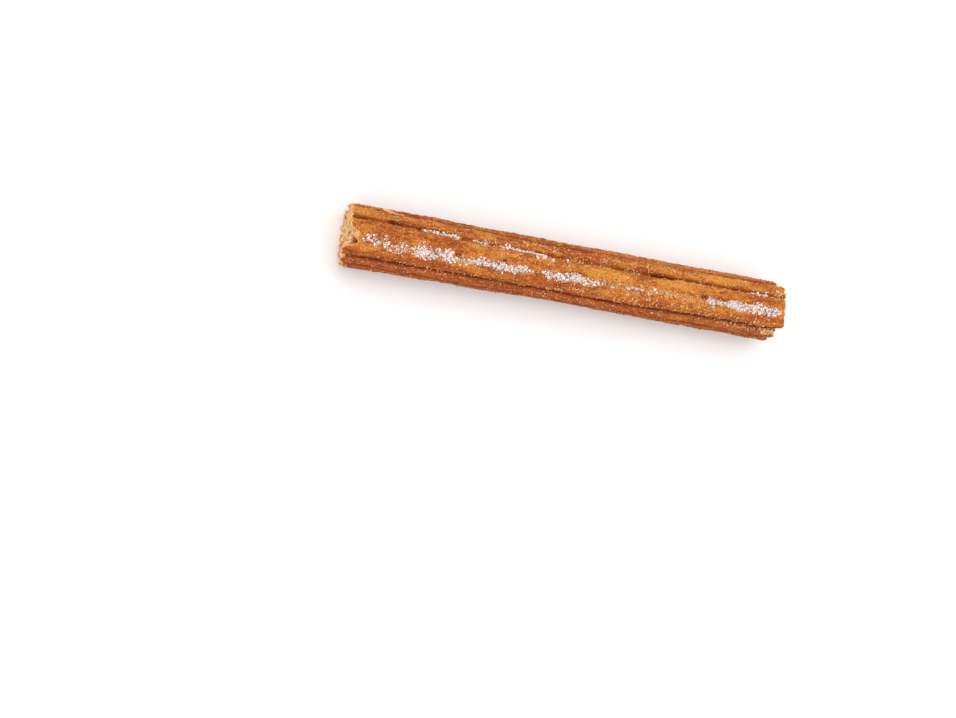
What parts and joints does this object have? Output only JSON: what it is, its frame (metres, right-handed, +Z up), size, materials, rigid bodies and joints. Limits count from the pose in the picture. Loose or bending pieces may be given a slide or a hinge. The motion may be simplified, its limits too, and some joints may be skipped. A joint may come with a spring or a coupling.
{
  "type": "churro",
  "caption": "Straight fried dough stick with a ridged star section, sugar caught in its grooves, a clean pale cut end and a ragged end.",
  "frame": {"origin": "middle of the underside, on the surface that the churro lies on", "axes": "+X along the churro's length towards its ragged end, +Y across it, +Z up through its sugared side"},
  "size_m": [0.1666, 0.0232, 0.0211],
  "materials": {
    "crust": "golden brown fried crust with a thin oily sheen, redder in its clefts and paler where it swelled",
    "crumb": "dry, open, cream yellow crumb on the cut end",
    "sugar": "loose granulated sugar, glossy grains"
  },
  "bodies": {
    "root": {"churro": "crust"}
  },
  "joints": []
}
